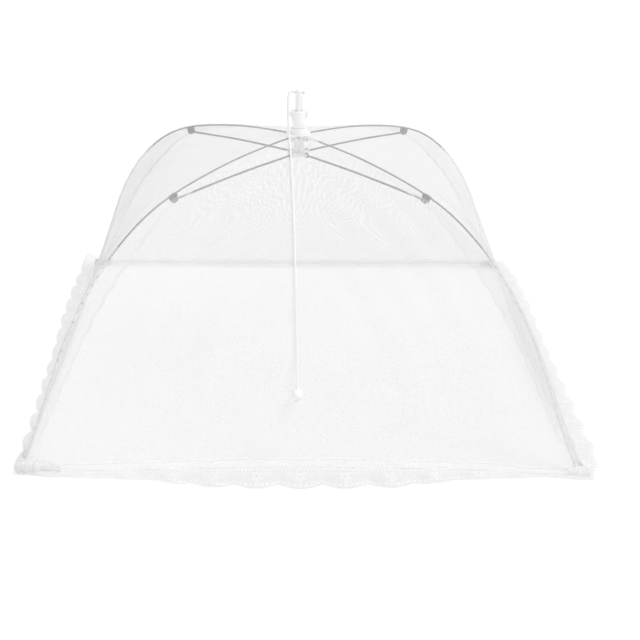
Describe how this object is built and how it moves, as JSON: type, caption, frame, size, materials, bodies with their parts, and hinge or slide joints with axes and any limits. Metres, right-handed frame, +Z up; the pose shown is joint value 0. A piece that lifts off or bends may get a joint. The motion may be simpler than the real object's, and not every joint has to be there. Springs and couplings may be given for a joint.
{
  "type": "folding food cover",
  "caption": "Pop-up square food cover: net canopy with lace trim on sprung wire ribs, with a hub, sliding runner, struts and pull string.",
  "frame": {"origin": "on the table, under the middle of the hub", "axes": "+Z up along the post; the front, where the pull string hangs, faces -Y; +X to the viewer's right"},
  "size_m": [0.4782, 0.489, 0.2587],
  "materials": {
    "net": "matte",
    "lace": "matte",
    "string": "matte",
    "white_plastic": "satin",
    "grey_plastic": "satin",
    "steel": "satin"
  },
  "bodies": {
    "crown": {"crown_hub": "grey_plastic", "crown_collar": "white_plastic", "crown_sleeve": "white_plastic", "front_left_rib_pin": "steel", "front_right_rib_pin": "steel", "back_right_rib_pin": "steel", "back_left_rib_pin": "steel"},
    "runner": {"runner": "grey_plastic", "pull_post": "white_plastic", "front_left_knuckle_pin": "steel", "front_right_knuckle_pin": "steel", "back_right_knuckle_pin": "steel", "back_left_knuckle_pin": "steel"},
    "string": {"pull_string": "string", "string_bead": "white_plastic"},
    "front_left_rib_set": {"front_left_rib": "steel", "front_left_clip": "steel", "front_left_clip_pin": "steel", "front_left_tip_cap": "white_plastic", "front_left_seam_strip": "net", "front_left_hem": "lace", "front_left_lace": "lace", "front_panel_left_half": "net", "left_panel_front_half": "net"},
    "front_left_strut_set": {"front_left_strut": "steel"},
    "front_right_rib_set": {"front_right_rib": "steel", "front_right_clip": "steel", "front_right_clip_pin": "steel", "front_right_tip_cap": "white_plastic", "front_right_seam_strip": "net", "front_right_hem": "lace", "front_right_lace": "lace", "front_panel_right_half": "net", "right_panel_front_half": "net"},
    "front_right_strut_set": {"front_right_strut": "steel"},
    "back_right_rib_set": {"back_right_rib": "steel", "back_right_clip": "steel", "back_right_clip_pin": "steel", "back_right_tip_cap": "white_plastic", "back_right_seam_strip": "net", "back_right_hem": "lace", "back_right_lace": "lace", "back_panel_right_half": "net", "right_panel_back_half": "net"},
    "back_right_strut_set": {"back_right_strut": "steel"},
    "back_left_rib_set": {"back_left_rib": "steel", "back_left_clip": "steel", "back_left_clip_pin": "steel", "back_left_tip_cap": "white_plastic", "back_left_seam_strip": "net", "back_left_hem": "lace", "back_left_lace": "lace", "back_panel_left_half": "net", "left_panel_back_half": "net"},
    "back_left_strut_set": {"back_left_strut": "steel"}
  },
  "joints": [
    {"name": "front_left_rib_hinge", "type": "hinge", "parent": "crown", "child": "front_left_rib_set", "pos_m": [-0.00601, -0.00601, 0.2145], "axis": [0.7071, -0.7071, 0], "range_deg": [0, 52], "deforming": ["front_left_seam_strip", "front_left_hem", "front_left_lace", "front_panel_left_half", "left_panel_front_half"]},
    {"name": "front_right_rib_hinge", "type": "hinge", "parent": "crown", "child": "front_right_rib_set", "pos_m": [0.00601, -0.00601, 0.2145], "axis": [0.7071, 0.7071, 0], "range_deg": [0, 52.01], "deforming": ["front_right_seam_strip", "front_right_hem", "front_right_lace", "front_panel_right_half", "right_panel_front_half"]},
    {"name": "back_right_rib_hinge", "type": "hinge", "parent": "crown", "child": "back_right_rib_set", "pos_m": [0.00601, 0.00601, 0.2145], "axis": [-0.7071, 0.7071, 0], "range_deg": [0, 52.01], "deforming": ["back_right_seam_strip", "back_right_hem", "back_right_lace", "back_panel_right_half", "right_panel_back_half"]},
    {"name": "back_left_rib_hinge", "type": "hinge", "parent": "crown", "child": "back_left_rib_set", "pos_m": [-0.00601, 0.00601, 0.2145], "axis": [-0.7071, -0.7071, 0], "range_deg": [0, 52.01], "deforming": ["back_left_seam_strip", "back_left_hem", "back_left_lace", "back_panel_left_half", "left_panel_back_half"]},
    {"name": "front_left_strut_hinge", "type": "hinge", "parent": "front_left_rib_set", "child": "front_left_strut_set", "pos_m": [-0.10421, -0.10421, 0.18997], "axis": [-0.7071, 0.7071, 0], "range_deg": [0, 118.2]},
    {"name": "front_right_strut_hinge", "type": "hinge", "parent": "front_right_rib_set", "child": "front_right_strut_set", "pos_m": [0.10421, -0.10421, 0.18997], "axis": [-0.7071, -0.7071, 0], "range_deg": [0, 118.2]},
    {"name": "back_right_strut_hinge", "type": "hinge", "parent": "back_right_rib_set", "child": "back_right_strut_set", "pos_m": [0.10421, 0.10421, 0.18997], "axis": [0.7071, -0.7071, 0], "range_deg": [0, 118.2]},
    {"name": "back_left_strut_hinge", "type": "hinge", "parent": "back_left_rib_set", "child": "back_left_strut_set", "pos_m": [-0.10421, 0.10421, 0.18997], "axis": [0.7071, 0.7071, 0], "range_deg": [0, 118.2]},
    {"name": "runner_slide", "type": "slide", "parent": "crown", "child": "runner", "axis": [0, 0, -1], "range_m": [0, 0.2314]},
    {"name": "string_slide", "type": "slide", "parent": "crown", "child": "string", "axis": [-0.0071, 0.8964, 0.4432], "range_m": [0, 0.2039], "deforming": ["pull_string"]}
  ],
  "couplings": [
    {"joint": "front_right_rib_hinge", "follows": "front_left_rib_hinge", "ratio": 1},
    {"joint": "back_right_rib_hinge", "follows": "front_left_rib_hinge", "ratio": 1},
    {"joint": "back_left_rib_hinge", "follows": "front_left_rib_hinge", "ratio": 1},
    {"joint": "front_left_strut_hinge", "follows": "front_left_rib_hinge", "ratio": 2.2693},
    {"joint": "front_right_strut_hinge", "follows": "front_left_rib_hinge", "ratio": 2.2693},
    {"joint": "back_right_strut_hinge", "follows": "front_left_rib_hinge", "ratio": 2.2693},
    {"joint": "back_left_strut_hinge", "follows": "front_left_rib_hinge", "ratio": 2.2693},
    {"joint": "runner_slide", "follows": "front_left_rib_hinge", "m_per_rad": 0.25477},
    {"joint": "string_slide", "follows": "front_left_rib_hinge", "m_per_rad": 0.2245}
  ]
}
